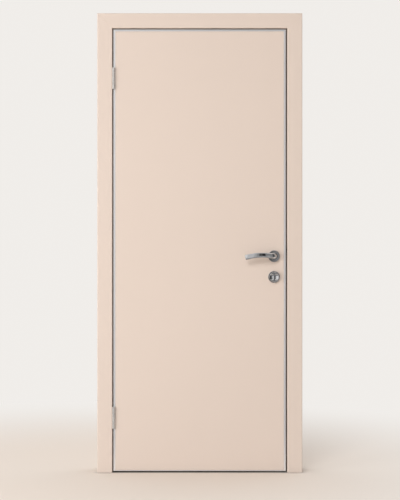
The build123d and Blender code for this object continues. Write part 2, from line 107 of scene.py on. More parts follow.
class Wire:
    """An output of a node tree that takes part in Python arithmetic."""

    def __init__(self, builder: "NodeBuilder", socket: bpy.types.NodeSocket) -> None:
        """Keeps the tree's builder and one of its output sockets."""
        self.builder = builder
        self.socket = socket

    def _math(self, operation: str, first: Any, second: Any) -> "Wire":
        """Adds a Math node on two numbers or wires."""
        return self.builder.node("ShaderNodeMath", {"operation": operation}, {0: first, 1: second})

    def __add__(self, other: Any) -> "Wire":
        """self + other."""
        return self._math("ADD", self, other)

    def __radd__(self, other: Any) -> "Wire":
        """other + self."""
        return self._math("ADD", other, self)

    def __sub__(self, other: Any) -> "Wire":
        """self - other."""
        return self._math("SUBTRACT", self, other)

    def __rsub__(self, other: Any) -> "Wire":
        """other - self."""
        return self._math("SUBTRACT", other, self)

    def __mul__(self, other: Any) -> "Wire":
        """self * other."""
        return self._math("MULTIPLY", self, other)

    def __rmul__(self, other: Any) -> "Wire":
        """other * self."""
        return self._math("MULTIPLY", other, self)

    def __lt__(self, other: Any) -> "Wire":
        """1 where self is less than other, else 0."""
        return self._math("LESS_THAN", self, other)

    def __gt__(self, other: Any) -> "Wire":
        """1 where self is more than other, else 0."""
        return self._math("GREATER_THAN", self, other)

    def __abs__(self) -> "Wire":
        """The size of self without its sign."""
        return self._math("ABSOLUTE", self, 0.0)


@dataclass(frozen=True)
class Pattern:
    """Smooth noise in a finish.

    Its features to the metre, its octaves, how much finer it is along each axis, and how much of it
    goes into the roughness and into the height of the relief.
    """

    scale: float
    detail: float
    stretch: Point = (1.0, 1.0, 1.0)
    rough: float = 0.0
    height: float = 0.0


class NodeBuilder:
    """Adds nodes to one tree: a material's, the world's or a Geometry Nodes group's."""

    def __init__(self, tree: bpy.types.NodeTree) -> None:
        """Keeps the tree to add to."""
        self.tree = tree

    def node(
        self,
        kind: str,
        settings: dict[str, Any] | None = None,
        sockets: dict[Any, Any] | None = None,
        output: Any = 0,
    ) -> Wire:
        """Adds any node.

        Args:
            kind: the node's type name.
            settings: values of the node itself, set before its sockets.
            sockets: values or wires by socket name or number.
            output: the output that the wire stands for, by name or number.

        Returns:
            The wire of that output.
        """
        made = self.tree.nodes.new(kind)
        for name, value in (settings or {}).items():
            setattr(made, name, value)
        for key, value in (sockets or {}).items():
            if isinstance(value, Wire):
                self.tree.links.new(value.socket, made.inputs[key])
            else:
                made.inputs[key].default_value = value
        return Wire(self, made.outputs[output] if made.outputs else None)

    def mix(self, first: Any, second: Any, factor: Any) -> Wire:
        """Blends two colours by a factor."""
        sockets = {0: factor, 6: first, 7: second}
        return self.node("ShaderNodeMix", {"data_type": "RGBA"}, sockets, output=2)

    def place(self) -> Wire:
        """The surface's own place, in metres."""
        return self.node("ShaderNodeTexCoord", output="Object")

    def axes(self, place: Wire) -> tuple[Wire, Wire, Wire]:
        """Splits a place into its three coordinates."""
        split = self.node("ShaderNodeSeparateXYZ", sockets={0: place})
        return tuple(Wire(self, socket) for socket in split.socket.node.outputs)

    def added(self, first: Any, second: Any) -> Wire:
        """The sum of two vectors."""
        return self.node("ShaderNodeVectorMath", {"operation": "ADD"}, {0: first, 1: second})

    def scaled(self, vector: Wire, amount: Wire) -> Wire:
        """A vector made longer by an amount."""
        return self.node("ShaderNodeVectorMath", {"operation": "SCALE"}, {0: vector, "Scale": amount})

    def fade(self, value: Wire, start: float, end: float) -> Wire:
        """0 up to a start and 1 past an end, with a smooth step between them."""
        sockets = {"Value": value, "From Min": start, "From Max": end}
        return self.node("ShaderNodeMapRange", {"interpolation_type": "SMOOTHSTEP"}, sockets)

    def noise(self, place: Wire, pattern: Pattern) -> Wire:
        """Adds smooth noise.

        Args:
            place: where to read it.
            pattern: its scale, octaves and stretch.

        Returns:
            The noise's wire, from 0 to 1.
        """
        turned = self.node("ShaderNodeMapping", sockets={"Vector": place, "Scale": pattern.stretch})
        sockets = {"Vector": turned, "Scale": pattern.scale, "Detail": pattern.detail}
        return self.node("ShaderNodeTexNoise", sockets=sockets)

    def bump(self, height: Wire, strength: float, distance: float) -> Wire:
        """Turns a height into a surface normal."""
        sockets = {"Strength": strength, "Distance": distance, "Height": height}
        return self.node("ShaderNodeBump", sockets=sockets)


def fresh_nodes(owner: bpy.types.Material | bpy.types.World) -> NodeBuilder:
    """Gives a material or a world an empty node tree.

    Args:
        owner: the material or the world.

    Returns:
        The builder of its tree.
    """
    owner.use_nodes = True
    owner.node_tree.nodes.clear()
    return NodeBuilder(owner.node_tree)


@dataclass(frozen=True)
class Finish:
    """What a surface is made of: two tones that its first pattern blends, its gloss and its relief."""

    name: str
    tone: Colour
    dark_tone: Colour
    gloss: float
    metal: float = 0.0
    specular: float = 0.5
    relief: float = 0.0
    relief_depth: float = 0.0

    def patterns(self) -> tuple[Pattern, ...]:
        """Its patterns, the one that blends its tones first. Each kind has its own."""
        raise NotImplementedError

    def layers(self, nodes: NodeBuilder, place: Wire) -> tuple[Wire, Any, Any]:
        """Works out what varies over the surface.

        Args:
            nodes: the material's builder.
            place: the surface's own place.

        Returns:
            The colour, the roughness about its gloss, and the height of the relief.
        """
        pairs = [(pattern, nodes.noise(place, pattern)) for pattern in self.patterns()]
        least = self.gloss - sum(pattern.rough for pattern, _ in pairs) / 2
        rough = sum((noise * pattern.rough for pattern, noise in pairs if pattern.rough), least)
        height = sum(noise * pattern.height for pattern, noise in pairs if pattern.height)
        return nodes.mix(self.dark_tone, self.tone, pairs[0][1]), rough, height

    def material(self) -> bpy.types.Material:
        """Makes the finish, once.

        Returns:
            The Blender material.
        """
        found = bpy.data.materials.get(self.name)
        if found:
            return found
        made = bpy.data.materials.new(self.name)
        nodes = fresh_nodes(made)
        colour, rough, height = self.layers(nodes, nodes.place())
        sockets = {
            "Base Color": colour,
            "Roughness": rough,
            "Metallic": self.metal,
            "Specular IOR Level": self.specular,
        }
        if self.relief:
            sockets["Normal"] = nodes.bump(height, self.relief, self.relief_depth)
        surface = nodes.node("ShaderNodeBsdfPrincipled", sockets=sockets)
        nodes.node("ShaderNodeOutputMaterial", sockets={"Surface": surface})
        return made


@dataclass(frozen=True)
class CreamPaint(Finish):
    """Satin cream paint or film on fibre board, with bare board on the faces that the wall hides."""

    tone: Colour = (0.708, 0.604, 0.533, 1.0)
    dark_tone: Colour = (0.692, 0.588, 0.517, 1.0)
    gloss: float = 0.42
    specular: float = 0.4
    relief: float = 0.035
    relief_depth: float = 0.4 * MM
    clouds: Pattern = Pattern(1.6, 3.0, rough=0.06)
    sprayed_skin: Pattern = Pattern(620.0, 2.0, rough=0.05, height=1.0)
    board: Colour = (0.52, 0.38, 0.24, 1.0)
    board_dark: Colour = (0.41, 0.28, 0.17, 1.0)
    fibres: Pattern = Pattern(260.0, 5.0, (1.0, 1.0, 0.35), height=2.0)
    bare_rough: float = 0.42
    bare: Bare = Bare.NOWHERE
    bare_limit: float = 0.0
    ragged: Pattern = Pattern(45.0, 3.0)
    ragged_from: float = 45.5 * MM
    ragged_reach: float = 4.0 * MM

    def patterns(self) -> tuple[Pattern, ...]:
        """Faint clouds and a fine sprayed skin."""
        return self.clouds, self.sprayed_skin

    def bare_mask(self, nodes: NodeBuilder, place: Wire) -> Wire:
        """Finds the bare face, with the paint's ragged edge round it.

        Args:
            nodes: the material's builder.
            place: the surface's own place.

        Returns:
            1 where the board is bare, else 0.
        """
        axes = nodes.axes(place)
        depth = abs(axes[1])
        if self.bare is Bare.INNER_Y:
            return depth < self.bare_limit
        axis, beyond = self.bare.value
        past_limit = axes[axis] > self.bare_limit if beyond else axes[axis] < self.bare_limit
        ragged = nodes.noise(place, self.ragged) * self.ragged_reach + self.ragged_from
        return past_limit * (depth < ragged)

    def layers(self, nodes: NodeBuilder, place: Wire) -> tuple[Wire, Any, Any]:
        """Adds brown fibre board, rougher than the paint, where it is bare.

        Args:
            nodes: the material's builder.
            place: the surface's own place.

        Returns:
            The colour, the roughness and the height of the relief.
        """
        colour, rough, height = super().layers(nodes, place)
        if self.bare is Bare.NOWHERE:
            return colour, rough, height
        mask = self.bare_mask(nodes, place)
        fibres = nodes.noise(place, self.fibres)
        colour = nodes.mix(colour, nodes.mix(self.board_dark, self.board, fibres), mask)
        return colour, rough + mask * self.bare_rough, height + mask * fibres * self.fibres.height


@dataclass(frozen=True)
class DrawnMetal(Finish):
    """Bare or plated metal with fine lines along its length."""

    gloss: float = 0.3
    lines: float = 0.10
    grain: Grain = Grain.ALONG_Z
    metal: float = 0.6
    relief: float = 0.25
    relief_depth: float = 0.06 * MM
    drawn: Pattern = Pattern(14.0, 4.0, height=1.0)
    clouds: Pattern = Pattern(9.0, 3.0, rough=0.06)

    def patterns(self) -> tuple[Pattern, ...]:
        """Drawn lines in its colour, gloss and relief, and a faint cloud of handling."""
        return replace(self.drawn, stretch=self.grain.value, rough=self.lines), self.clouds


@dataclass(frozen=True)
class Chrome(Finish):
    """Polished chrome plate with the faint haze of handling."""

    tone: Colour = (0.70, 0.70, 0.71, 1.0)
    dark_tone: Colour = (0.63, 0.63, 0.635, 1.0)
    gloss: float = 0.07
    metal: float = 1.0
    smudges: Pattern = Pattern(38.0, 4.0, rough=0.07)
    hairs: Pattern = Pattern(900.0, 2.0, (1.0, 1.0, 6.0), rough=0.03)

    def patterns(self) -> tuple[Pattern, ...]:
        """Soft smudges that dull its gloss, and fine hairs."""
        return self.smudges, self.hairs


@dataclass(frozen=True)
class Rubber(Finish):
    """Soft, matt, extruded seal rubber."""

    tone: Colour = (0.74, 0.66, 0.58, 1.0)
    dark_tone: Colour = (0.67, 0.59, 0.51, 1.0)
    gloss: float = 0.67
    relief: float = 0.2
    relief_depth: float = 0.2 * MM
    grain: Grain = Grain.ALONG_Z
    die_lines: Pattern = Pattern(8.0, 3.0, height=0.7)
    grit: Pattern = Pattern(1400.0, 2.0, rough=0.1, height=0.3)

    def patterns(self) -> tuple[Pattern, ...]:
        """Faint die lines along its length, and grit."""
        return replace(self.die_lines, stretch=self.grain.value), self.grit


@dataclass(frozen=True)
class CoreBoard(Finish):
    """Raw board inside the leaf."""

    tone: Colour = (0.55, 0.40, 0.25, 1.0)
    dark_tone: Colour = (0.40, 0.27, 0.16, 1.0)
    gloss: float = 0.8
    relief: float = 0.3
    relief_depth: float = 0.6 * MM
    chips: Pattern = Pattern(180.0, 4.0, (1.0, 1.0, 0.4), rough=0.1, height=1.0)

    def patterns(self) -> tuple[Pattern, ...]:
        """Pressed chips in two browns."""
        return (self.chips,)


def face_outwards(mesh: bpy.types.Mesh) -> None:
    """Merges a mesh's doubled points and turns its faces outwards.

    Args:
        mesh: the mesh to change.
    """
    shape = bmesh.new()
    shape.from_mesh(mesh)
    bmesh.ops.remove_doubles(shape, verts=shape.verts, dist=MERGE_DISTANCE)
    bmesh.ops.recalc_face_normals(shape, faces=shape.faces)
    shape.to_mesh(mesh)
    shape.free()


def into_scene(data: bpy.types.ID, name: str) -> bpy.types.Object:
    """Puts a mesh, a lamp or a camera in the scene.

    Args:
        data: the mesh, the lamp or the camera.
        name: the new object's name.

    Returns:
        The object.
    """
    made = bpy.data.objects.new(name, data)
    bpy.context.scene.collection.objects.link(made)
    return made


@dataclass
class Draft:
    """A mesh in the making: points and faces, in metres, in the frame of the part."""

    points: list[Point] = field(default_factory=list)
    faces: list[Sequence[int]] = field(default_factory=list)

    def rings(self, rings: Sequence[Sequence[Point]], capped: bool = True) -> "Draft":
        """Adds a tube through closed rings of points that all have the same count.

        Args:
            rings: the rings, in order along the tube.
            capped: closes the first and the last ring with a face.

        Returns:
            The same draft.
        """
        start, count = len(self.points), len(rings[0])
        for ring in rings:
            self.points.extend(ring)
        for row in range(len(rings) - 1):
            low = start + row * count
            for step in range(count):
                after = (step + 1) % count
                self.faces.append((low + step, low + after, low + count + after, low + count + step))
        if capped:
            last = start + (len(rings) - 1) * count
            self.faces.append([start + step for step in reversed(range(count))])
            self.faces.append([last + step for step in range(count)])
        return self

    def mirrored(self, middle_y: float) -> "Draft":
        """The same mesh on the other side of a plane across Y."""
        points = [(x, 2 * middle_y - y, z) for x, y, z in self.points]
        return Draft(points, [list(reversed(face)) for face in self.faces])

    def object(self, name: str) -> bpy.types.Object:
        """Makes the mesh, with its faces turned outwards.

        Args:
            name: the new object's name.

        Returns:
            The object, in the scene.
        """
        mesh = bpy.data.meshes.new(name)
        mesh.from_pydata(self.points, [], self.faces)
        face_outwards(mesh)
        return into_scene(mesh, name)


def make_plain(piece: bpy.types.Object) -> None:
    """Turns a piece and its modifiers into one plain mesh.

    Args:
        piece: the object to change.
    """
    graph = bpy.context.evaluated_depsgraph_get()
    plain = bpy.data.meshes.new_from_object(piece.evaluated_get(graph), depsgraph=graph)
    spare = piece.data
    piece.modifiers.clear()
    piece.data = plain
    bpy.data.meshes.remove(spare)
    plain.name = piece.name


def soften(piece: bpy.types.Object, width: float, steps: int = 2, angle: float = 32.0) -> None:
    """Breaks a piece's sharp edges with a small bevel.

    Args:
        piece: the object to soften.
        width: the bevel's width, in metres.
        steps: faces across the bevel.
        angle: edges sharper than this many degrees are bevelled.
    """
    bevel = piece.modifiers.new("broken_edges", "BEVEL")
    bevel.width = width
    bevel.segments = steps
    bevel.limit_method = "ANGLE"
    bevel.angle_limit = math.radians(angle)
    bevel.use_clamp_overlap = True


def settle(piece: bpy.types.Object, angle: float = 40.0) -> None:
    """Turns a piece into one plain mesh with smooth rounds and crisp edges.

    Args:
        piece: the object to settle.
        angle: edges sharper than this many degrees stay crisp.
    """
    weight = piece.modifiers.new("even_shading", "WEIGHTED_NORMAL")
    weight.weight = FACE_AREA_WEIGHT
    weight.keep_sharp = True
    mesh = piece.data
    mesh.polygons.foreach_set("use_smooth", [True] * len(mesh.polygons))
    mesh.set_sharp_from_angle(angle=math.radians(angle))
    make_plain(piece)


def hand_over(
    piece: bpy.types.Object, body: Body, finish: Finish | None = None, node: str | None = None
) -> None:
    """Gives a finished piece its material and its place on the part.

    Args:
        piece: a plain mesh at the origin.
        body: the body that it moves with.
        finish: its material, where it has none yet.
        node: the CAD node that it replaces, if any.
    """
    if finish:
        piece.data.materials.clear()
        piece.data.materials.append(finish.material())
    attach(piece, body.value)
    if node:
        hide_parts(node)
    LOG.info("%s: %d faces on %s", piece.name, len(piece.data.polygons), body.value)


def dress(finish: Finish, *nodes: str) -> None:
    """Gives CAD nodes that stay in view a better material.

    Args:
        finish: the material.
        *nodes: the nodes' names.
    """
    for node in nodes:
        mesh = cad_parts[node].data
        mesh.materials.clear()
        mesh.materials.append(finish.material())
        LOG.info("%s: dressed in %s", node, finish.name)


def middle_of(node: str) -> Vector:
    """The middle of a CAD node's box."""
    low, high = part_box(node)
    return (low + high) / 2


def circle(count: int) -> list[float]:
    """Angles evenly round a circle."""
    return [2 * math.pi * step / count for step in range(count)]


def corner_arc(middle: Flat, radius: float, start: float, end: float, steps: int) -> list[Flat]:
    """Points round part of a circle.

    Args:
        middle: the circle's middle.
        radius: its radius.
        start: the first angle, in degrees.
        end: the last angle, in degrees.
        steps: how many chords to draw.

    Returns:
        The points, both ends included.
    """
    angles = [math.radians(start + (end - start) * step / steps) for step in range(steps + 1)]
    return [(middle[0] + radius * math.cos(a), middle[1] + radius * math.sin(a)) for a in angles]


class GeometryTree(NodeBuilder):
    """A Geometry Nodes group with named inputs."""

    def __init__(self, name: str, inputs: dict[str, tuple[str, Any]]) -> None:
        """Makes the group.

        Args:
            name: the group's name.
            inputs: each input's socket type and starting value, by name.
        """
        super().__init__(bpy.data.node_groups.new(name, "GeometryNodeTree"))
        face = self.tree.interface
        face.new_socket("Geometry", in_out="INPUT", socket_type="NodeSocketGeometry")
        face.new_socket("Geometry", in_out="OUTPUT", socket_type="NodeSocketGeometry")
        self.keys: dict[str, str] = {}
        for label, (kind, value) in inputs.items():
            socket = face.new_socket(label, in_out="INPUT", socket_type=kind)
            if value is not None:
                socket.default_value = value
            self.keys[label] = socket.identifier
        self.entry = self.tree.nodes.new("NodeGroupInput")

    def given(self, label: str) -> Wire:
        """The wire of a named input."""
        return Wire(self, self.entry.outputs[label])

    def vector(self, **parts: Wire) -> Wire:
        """A vector from some of its X, Y and Z, with 0 for the rest."""
        return self.node("ShaderNodeCombineXYZ", sockets=parts)

    def moved(self, geometry: Wire, way: Wire) -> Wire:
        """The geometry, moved by a vector."""
        return self.node("GeometryNodeTransform", sockets={"Geometry": geometry, "Translation": way})

    def close(self, geometry: Wire, material: Wire) -> None:
        """Ends the tree with real geometry in one material.

        Args:
            geometry: the tree's result.
            material: the input that holds its material.
        """
        real = self.node("GeometryNodeRealizeInstances", sockets={"Geometry": geometry})
        painted = self.node("GeometryNodeSetMaterial", sockets={"Geometry": real, "Material": material})
        self.node("NodeGroupOutput", sockets={"Geometry": painted})

    def run(self, piece: bpy.types.Object, values: dict[str, Any]) -> None:
        """Runs the tree on an object and keeps the result as its own plain mesh.

        Args:
            piece: the object that gives the tree its geometry.
            values: the inputs that differ from their starting values, by name.
        """
        modifier = piece.modifiers.new(self.tree.name, "NODES")
        modifier.node_group = self.tree
        for label, value in values.items():
            modifier[self.keys[label]] = value
        make_plain(piece)
        face_outwards(piece.data)


@dataclass(frozen=True)
class Layout:
    """Where the main pieces are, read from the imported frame."""

    width: float
    height: float
    half_depth: float
    leaf_front: float
    leaf_middle: float
    leaf_left: float
    lever_middle: Flat
    turn_middle: Flat

    @classmethod
    def from_frame(cls) -> "Layout":
        """Reads the boxes of the CAD nodes.

        Returns:
            The layout.
        """
        head_low, head_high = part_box("frame_head")
        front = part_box("leaf_front_skin")[0][1]
        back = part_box("leaf_back_skin")[1][1]
        lever, turn = middle_of("lever_spindle"), middle_of("turn_spindle")
        return cls(
            width=head_low[0] + head_high[0],
            height=head_high[2],
            half_depth=head_high[1],
            leaf_front=front,
            leaf_middle=(front + back) / 2,
            leaf_left=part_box("leaf_edging_hinge_side")[0][0],
            lever_middle=(lever.x, lever.z),
            turn_middle=(turn.x, turn.z),
        )


@dataclass
class Casings:
    """Six flat boards that cover the joint between frame and wall, mitred at their top corners."""

    layout: Layout
    inner: float = 24.0 * MM
    width: float = 70.0 * MM
    thickness: float = 10.0 * MM
    rounding: float = 4.0 * MM
    tongue_from: float = 9.0 * MM
    tongue_thickness: float = 6.0 * MM
    tongue_length: float = 12.0 * MM
    broken_edge: float = 0.5 * MM
    paint_short: float = 0.3 * MM
    arc_steps: int = 8

    def paint(self) -> CreamPaint:
        """The boards' paint, which stops just short of their backs."""
        limit = self.layout.half_depth + self.paint_short
        return CreamPaint("casing_paint", bare=Bare.INNER_Y, bare_limit=limit)

    def profile(self, side: Side) -> list[Flat]:
        """Draws the outline of a board and its tongue.

        Args:
            side: the side of the wall that it lies on.

        Returns:
            Its points: how far into the doorway, and how far through the wall.
        """
        back = self.layout.half_depth
        face = back + self.thickness
        outer = self.inner - self.width
        r = self.rounding
        tongue_to = self.tongue_from + self.tongue_thickness
        points = [
            (outer, back),
            *corner_arc((outer + r, face - r), r, 180, 90, self.arc_steps),
            *corner_arc((self.inner - r, face - r), r, 90, 0, self.arc_steps),
            (self.inner, back),
            (tongue_to, back),
            (tongue_to, back - self.tongue_length),
            (self.tongue_from, back - self.tongue_length),
            (self.tongue_from, back),
        ]
        return [(across, side.value * depth) for across, depth in points]

    def run_tree(self) -> GeometryTree:
        """Makes the tree that runs a board's outline along one side of the doorway and mitres its ends.

        Returns:
            The tree.
        """
        vector, number = "NodeSocketVector", "NodeSocketFloat"
        tree = GeometryTree(
            "mitred_board",
            {
                "Start": (vector, (0.0, 0.0, 0.0)),
                "Across": (vector, (1.0, 0.0, 0.0)),
                "Along": (vector, (0.0, 0.0, 1.0)),
                "Length": (number, 1.0),
                "First Mitre": (number, 0.0),
                "Last Mitre": (number, 0.0),
                "Finish": ("NodeSocketMaterial", None),
            },
        )
        outline = tree.node("GeometryNodeMeshToCurve", sockets={"Mesh": tree.given("Geometry")})
        spine = tree.node("GeometryNodeCurvePrimitiveLine", sockets={"End": (0.0, 0.0, 1.0)})
        sweep = {"Curve": spine, "Profile Curve": outline, "Fill Caps": True}
        board = tree.node("GeometryNodeCurveToMesh", sockets=sweep)
        across, depth, share = tree.axes(tree.node("GeometryNodeInputPosition"))
        first, last = tree.given("First Mitre"), tree.given("Last Mitre")
        reach = share * tree.given("Length") + across * (first + share * (last - first))
        place = tree.added(tree.given("Start"), tree.vector(Y=depth))
        place = tree.added(place, tree.scaled(tree.given("Across"), across))
        place = tree.added(place, tree.scaled(tree.given("Along"), reach))
        mitred = tree.node("GeometryNodeSetPosition", sockets={"Geometry": board, "Position": place})
        tree.close(mitred, tree.given("Finish"))
        return tree

    def run_values(self, run: Run) -> dict[str, Any]:
        """Works out what the tree needs for one side of the doorway.

        Args:
            run: the side of the doorway.

        Returns:
            The tree's inputs, by name.
        """
        width, height = self.layout.width, self.layout.height
        if run is Run.HEAD:
            return {
                "Start": (0.0, 0.0, height),
                "Across": (0.0, 0.0, -1.0),
                "Along": (1.0, 0.0, 0.0),
                "Length": width,
                "First Mitre": 1.0,
                "Last Mitre": -1.0,
            }
        hinge_side = run is Run.HINGE_SIDE
        return {
            "Start": (0.0 if hinge_side else width, 0.0, 0.0),
            "Across": (1.0 if hinge_side else -1.0, 0.0, 0.0),
            "Length": height,
            "Last Mitre": -1.0,
        }

    def build(self) -> None:
        """Makes the six boards."""
        tree, paint = self.run_tree(), self.paint().material()
        for side in Side:
            outline = self.profile(side)
            edges = [(step, (step + 1) % len(outline)) for step in range(len(outline))]
            for run in Run:
                node = f"{side.name.lower()}_casing_{run.value}"
                mesh = bpy.data.meshes.new(node)
                mesh.from_pydata([(across, depth, 0.0) for across, depth in outline], edges, [])
                board = into_scene(mesh, f"{node}_board")
                tree.run(board, {**self.run_values(run), "Finish": paint})
                soften(board, self.broken_edge)
                settle(board)
                hand_over(board, Body.FRAME, node=node)


@dataclass(frozen=True)
class ScrewSeat:
    """Where a screw head sits: its middle on the face, and the way it faces."""

    place: Point
    facing: Point


Seats = dict[Body, list[ScrewSeat]]


@dataclass
class Screws:
    """Raised cross-head screws, as one mesh for each body."""

    head_radius: float = 3.6 * MM
    head_depth: float = 1.1 * MM
    proud: float = 0.7 * MM
    top_share: float = 0.8
    foot_share: float = 1.04
    head_sides: int = 28
    recess_length: float = 4.4 * MM
    recess_width: float = 1.0 * MM
    recess_depth: float = 0.6 * MM
    crisp_angle: float = 25.0
    seed: int = 11
    metal: DrawnMetal = DrawnMetal(
        "bright_screw_steel",
        (0.52, 0.51, 0.49, 1.0),
        (0.42, 0.41, 0.39, 1.0),
        gloss=0.26,
        lines=0.06,
        metal=0.85,
    )

    def tree(self) -> GeometryTree:
        """Makes the tree that sets a screw head on each point, turned along the point's facing.

        Returns:
            The tree.
        """
        number = "NodeSocketFloat"
        tree = GeometryTree(
            "raised_head_screws",
            {
                "Head Radius": (number, self.head_radius),
                "Head Depth": (number, self.head_depth),
                "Proud": (number, self.proud),
                "Recess Length": (number, self.recess_length),
                "Recess Width": (number, self.recess_width),
                "Recess Depth": (number, self.recess_depth),
                "Seed": ("NodeSocketInt", self.seed),
                "Finish": ("NodeSocketMaterial", None),
            },
        )
        radius, depth, proud = (tree.given(label) for label in ("Head Radius", "Head Depth", "Proud"))
        cone = {
            "Vertices": self.head_sides,
            "Radius Top": radius * self.top_share,
            "Radius Bottom": radius * self.foot_share,
            "Depth": depth,
        }
        head = tree.node("GeometryNodeMeshCone", {"fill_type": "NGON"}, cone)
        head = tree.moved(head, tree.vector(Z=proud - depth))
        long, thin = tree.given("Recess Length"), tree.given("Recess Width")
        cut = {"operation": "DIFFERENCE", "solver": "EXACT"}
        for x, y in ((long, thin), (thin, long)):
            size = tree.vector(X=x, Y=y, Z=tree.given("Recess Depth") * 2)
            bar = tree.node("GeometryNodeMeshCube", sockets={"Size": size})
            bar = tree.moved(bar, tree.vector(Z=proud))
            head = tree.node("GeometryNodeMeshBoolean", cut, {"Mesh 1": head, "Mesh 2": bar})
        named = {"Name": "facing"}
        facing = tree.node("GeometryNodeInputNamedAttribute", {"data_type": "FLOAT_VECTOR"}, named)
        turned_out = tree.node("FunctionNodeAlignRotationToVector", {"axis": "Z"}, {"Vector": facing})
        quarter = {2: 0.0, 3: math.pi / 2, 8: tree.given("Seed")}
        spin = tree.node("FunctionNodeRandomValue", {"data_type": "FLOAT"}, quarter, output=1)
        spun = {"Axis": (0.0, 0.0, 1.0), "Angle": spin}
        about = tree.node("FunctionNodeAxisAngleToRotation", sockets=spun)
        both = {0: turned_out, 1: about}
        rotation = tree.node("FunctionNodeRotateRotation", {"rotation_space": "LOCAL"}, both)
        set_out = {"Points": tree.given("Geometry"), "Instance": head, "Rotation": rotation}
        tree.close(tree.node("GeometryNodeInstanceOnPoints", sockets=set_out), tree.given("Finish"))
        return tree

    def build(self, seats: Seats) -> None:
        """Makes one mesh of screws for each body that has any.

        Args:
            seats: where the screws sit, by body.
        """
        tree = self.tree()
        for body, places in seats.items():
            name = f"{body.value}_screws"
            mesh = bpy.data.meshes.new(name)
            mesh.from_pydata([seat.place for seat in places], [], [])
            facing = mesh.attributes.new("facing", "FLOAT_VECTOR", "POINT")
            for item, seat in zip(facing.data, places):
                item.vector = seat.facing
            heads = into_scene(mesh, name)
            tree.run(heads, {"Finish": self.metal.material()})
            settle(heads, self.crisp_angle)
            hand_over(heads, body)


